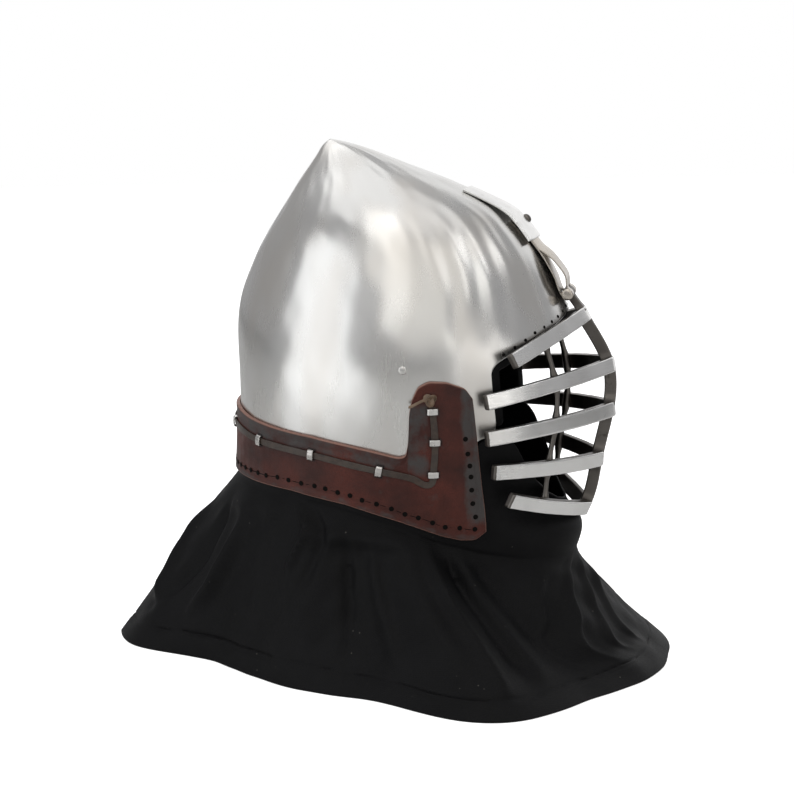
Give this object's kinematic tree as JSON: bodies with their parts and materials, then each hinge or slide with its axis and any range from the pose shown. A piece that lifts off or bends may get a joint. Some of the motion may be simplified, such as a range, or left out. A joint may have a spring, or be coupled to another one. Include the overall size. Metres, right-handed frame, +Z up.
{
  "type": "bascinet",
  "caption": "Pointed steel helmet with a laced leather band, a black cloth neck cape that stands on its hem, and a bar visor that swings up on a hinge at the brow.",
  "frame": {"origin": "on the floor, under the middle of the hem's outline", "axes": "+Z up, the face looks along -Y, the wearer's right side is -X"},
  "size_m": [0.4045, 0.455, 0.412],
  "materials": {
    "satin_steel": "satin polished",
    "bright_steel": "bright polished",
    "bar_steel": "oil blackened, front faces polished bright",
    "brown_leather": "dark red-brown, waxed",
    "lace_leather": "dark olive brown, worn",
    "black_cotton": "matte"
  },
  "bodies": {
    "helmet": {"aventail": "black_cotton", "brow_plate": "bright_steel", "brow_rivet": "satin_steel", "hinge_pin": "bright_steel", "hinge_strap": "bright_steel", "lace": "lace_leather", "lace_knot_left": "lace_leather", "lace_knot_right": "lace_leather", "lace_tail_left": "lace_leather", "lace_tail_right": "lace_leather", "leather_band": "brown_leather", "liner": "black_cotton", "skull": "satin_steel", "skull_rivet_left": "satin_steel", "skull_rivet_right": "satin_steel", "vervelle_left_1": "bright_steel", "vervelle_left_2": "bright_steel", "vervelle_left_3": "bright_steel", "vervelle_left_4": "bright_steel", "vervelle_left_5": "bright_steel", "vervelle_left_6": "bright_steel", "vervelle_left_7": "bright_steel", "vervelle_right_1": "bright_steel", "vervelle_right_2": "bright_steel", "vervelle_right_3": "bright_steel", "vervelle_right_4": "bright_steel", "vervelle_right_5": "bright_steel", "vervelle_right_6": "bright_steel", "vervelle_right_7": "bright_steel"},
    "visor": {"visor_grille": "bar_steel"}
  },
  "joints": [
    {"name": "visor_hinge", "type": "hinge", "parent": "helmet", "child": "visor", "pos_m": [0, -0.1429, 0.293], "axis": [-1, 0, 0], "range_deg": [0, 90]}
  ]
}
